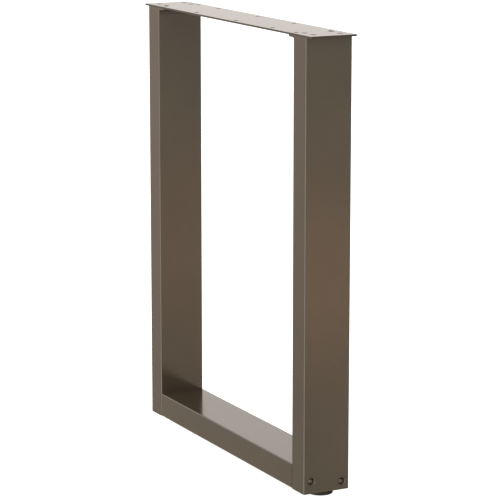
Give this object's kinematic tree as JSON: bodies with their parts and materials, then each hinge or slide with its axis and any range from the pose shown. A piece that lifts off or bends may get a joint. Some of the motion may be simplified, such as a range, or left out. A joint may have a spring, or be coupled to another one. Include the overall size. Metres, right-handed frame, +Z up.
{
  "type": "u-shaped table leg",
  "caption": "U-shaped table leg of rectangular steel tube: upright posts joined by a bottom rail, with a drilled top plate for the table top and levelling feet underneath.",
  "frame": {"origin": "on the floor, midway between the two posts and midway in their depth", "axes": "+Z up, X along the span of the U, Y through its depth with -Y at the front"},
  "size_m": [0.59, 0.08, 0.72],
  "materials": {
    "coat": "satin bronze-brown metallic coat on steel",
    "fastener": "coated steel screw",
    "bare_steel": "zinc-plated steel",
    "pad": "moulded black plastic"
  },
  "bodies": {
    "frame": {"top_plate": "coat", "bottom_rail": "coat", "left_post": "coat", "right_post": "coat", "left_post_head": "coat", "right_post_head": "coat", "left_head_screws": "fastener", "right_head_screws": "fastener", "left_rail_end_plate": "coat", "right_rail_end_plate": "coat", "left_rail_bushes": "coat", "right_rail_bushes": "coat", "left_rail_screws": "fastener", "right_rail_screws": "fastener", "left_post_sole": "coat", "right_post_sole": "coat", "left_foot_nut": "bare_steel", "right_foot_nut": "bare_steel"},
    "left_foot": {"left_foot_stem": "bare_steel", "left_foot_pad": "pad"},
    "right_foot": {"right_foot_stem": "bare_steel", "right_foot_pad": "pad"}
  },
  "joints": [
    {"name": "left_foot_level", "type": "slide", "parent": "frame", "child": "left_foot", "axis": [0, 0, -1], "range_m": [0, 0.015]},
    {"name": "right_foot_level", "type": "slide", "parent": "frame", "child": "right_foot", "axis": [0, 0, -1], "range_m": [0, 0.015]}
  ]
}
